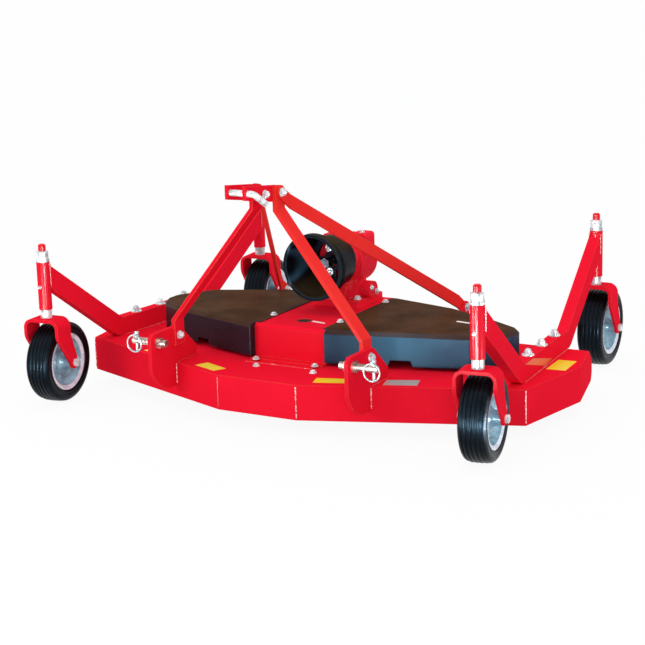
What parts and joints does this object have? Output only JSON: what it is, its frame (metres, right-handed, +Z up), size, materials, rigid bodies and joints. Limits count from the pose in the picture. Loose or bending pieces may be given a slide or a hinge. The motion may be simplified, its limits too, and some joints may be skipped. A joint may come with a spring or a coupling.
{
  "type": "three-point-hitch finishing mower",
  "caption": "Rear-mounted finishing mower: low wide deck with belt covers, an A-frame hitch and mast, a shielded gearbox input and trailing caster wheels on raised side beams.",
  "frame": {"origin": "on the ground, on the deck's centre plane, midway between the front and the rear axles", "axes": "-Y points forward to the tractor, +X to the right of someone facing the hitch, +Z up"},
  "size_m": [1.6571, 1.3777, 0.7525],
  "materials": {
    "red_paint": "glossy red enamel on sheet and tube",
    "charcoal_plastic": "semi-gloss charcoal, smooth on the covers, darker in the guard",
    "zinc_steel": "bright zinc plate, slightly blue",
    "tyre_rubber": "smooth black solid rubber with fine circumferential ribs",
    "blade_steel": "ground spring steel, darker than the plated parts"
  },
  "bodies": {
    "frame": {"deck_shell": "red_paint", "belt_tunnel": "red_paint", "belt_cover_left": "charcoal_plastic", "belt_cover_right": "charcoal_plastic", "gearbox": "red_paint", "pto_guard": "charcoal_plastic", "guard_plate": "charcoal_plastic", "hitch_plate_left": "red_paint", "mast_leg_left": "red_paint", "mast_plate_left": "red_paint", "mast_brace_left": "red_paint", "side_beam_left": "red_paint", "lower_pin_left": "zinc_steel", "hitch_plate_right": "red_paint", "mast_leg_right": "red_paint", "mast_plate_right": "red_paint", "mast_brace_right": "red_paint", "side_beam_right": "red_paint", "lower_pin_right": "zinc_steel", "caster_tube_front_left": "red_paint", "caster_tube_front_right": "red_paint", "caster_tube_rear_left": "red_paint", "caster_tube_rear_right": "red_paint", "spindle_housing_left": "red_paint", "spindle_housing_centre": "red_paint", "spindle_housing_right": "red_paint"},
    "caster_front_left": {"caster_fork_front_left": "red_paint", "caster_spindle_front_left": "zinc_steel", "axle_front_left": "zinc_steel"},
    "wheel_front_left": {"rim_front_left": "zinc_steel", "tyre_front_left": "tyre_rubber"},
    "caster_front_right": {"caster_fork_front_right": "red_paint", "caster_spindle_front_right": "zinc_steel", "axle_front_right": "zinc_steel"},
    "wheel_front_right": {"rim_front_right": "zinc_steel", "tyre_front_right": "tyre_rubber"},
    "caster_rear_left": {"caster_fork_rear_left": "red_paint", "caster_spindle_rear_left": "zinc_steel", "axle_rear_left": "zinc_steel"},
    "wheel_rear_left": {"rim_rear_left": "zinc_steel", "tyre_rear_left": "tyre_rubber"},
    "caster_rear_right": {"caster_fork_rear_right": "red_paint", "caster_spindle_rear_right": "zinc_steel", "axle_rear_right": "zinc_steel"},
    "wheel_rear_right": {"rim_rear_right": "zinc_steel", "tyre_rear_right": "tyre_rubber"},
    "blade_unit_left": {"blade_left": "blade_steel", "blade_shaft_left": "blade_steel"},
    "blade_unit_centre": {"blade_centre": "blade_steel", "blade_shaft_centre": "blade_steel"},
    "blade_unit_right": {"blade_right": "blade_steel", "blade_shaft_right": "blade_steel"},
    "drive_shaft": {"input_shaft": "zinc_steel"},
    "linch_left": {"linch_pin_left": "zinc_steel"},
    "linch_right": {"linch_pin_right": "zinc_steel"},
    "top_pin": {"top_link_pin": "zinc_steel"}
  },
  "joints": [
    {"name": "swivel_front_left", "type": "hinge", "parent": "frame", "child": "caster_front_left", "pos_m": [-0.754, -0.606, 0.3], "axis": [0, 0, 1], "continuous": true},
    {"name": "wheel_spin_front_left", "type": "hinge", "parent": "caster_front_left", "child": "wheel_front_left", "pos_m": [-0.75742, -0.55712, 0.13], "axis": [0.9976, 0.0698, 0], "continuous": true},
    {"name": "swivel_front_right", "type": "hinge", "parent": "frame", "child": "caster_front_right", "pos_m": [0.754, -0.606, 0.3], "axis": [0, 0, 1], "continuous": true},
    {"name": "wheel_spin_front_right", "type": "hinge", "parent": "caster_front_right", "child": "wheel_front_right", "pos_m": [0.74676, -0.55754, 0.13], "axis": [0.989, 0.1478, 0], "continuous": true},
    {"name": "swivel_rear_left", "type": "hinge", "parent": "frame", "child": "caster_rear_left", "pos_m": [-0.655, 0.508, 0.3], "axis": [0, 0, 1], "continuous": true},
    {"name": "wheel_spin_rear_left", "type": "hinge", "parent": "caster_rear_left", "child": "wheel_rear_left", "pos_m": [-0.66012, 0.55673, 0.13], "axis": [0.9945, 0.1045, 0], "continuous": true},
    {"name": "swivel_rear_right", "type": "hinge", "parent": "frame", "child": "caster_rear_right", "pos_m": [0.655, 0.508, 0.3], "axis": [0, 0, 1], "continuous": true},
    {"name": "wheel_spin_rear_right", "type": "hinge", "parent": "caster_rear_right", "child": "wheel_rear_right", "pos_m": [0.65244, 0.55693, 0.13], "axis": [0.9986, 0.0523, 0], "continuous": true},
    {"name": "blade_spin_left", "type": "hinge", "parent": "frame", "child": "blade_unit_left", "pos_m": [-0.51, -0.116, 0.1], "axis": [0, 0, 1], "continuous": true},
    {"name": "blade_spin_centre", "type": "hinge", "parent": "frame", "child": "blade_unit_centre", "pos_m": [0, -0.286, 0.1], "axis": [0, 0, 1], "continuous": true},
    {"name": "blade_spin_right", "type": "hinge", "parent": "frame", "child": "blade_unit_right", "pos_m": [0.51, -0.116, 0.1], "axis": [0, 0, 1], "continuous": true},
    {"name": "input_spin", "type": "hinge", "parent": "frame", "child": "drive_shaft", "pos_m": [-0.02, -0.1, 0.419], "axis": [0, 1, 0], "continuous": true},
    {"name": "linch_slide_left", "type": "slide", "parent": "frame", "child": "linch_left", "axis": [0, 0, 1], "range_m": [0, 0.06]},
    {"name": "linch_slide_right", "type": "slide", "parent": "frame", "child": "linch_right", "axis": [0, 0, 1], "range_m": [0, 0.06]},
    {"name": "top_pin_slide", "type": "slide", "parent": "frame", "child": "top_pin", "axis": [1, 0, 0], "range_m": [0, 0.085]}
  ],
  "couplings": [
    {"joint": "blade_spin_left", "follows": "blade_spin_centre", "ratio": 1},
    {"joint": "blade_spin_right", "follows": "blade_spin_centre", "ratio": 1},
    {"joint": "input_spin", "follows": "blade_spin_centre", "ratio": 0.18}
  ]
}
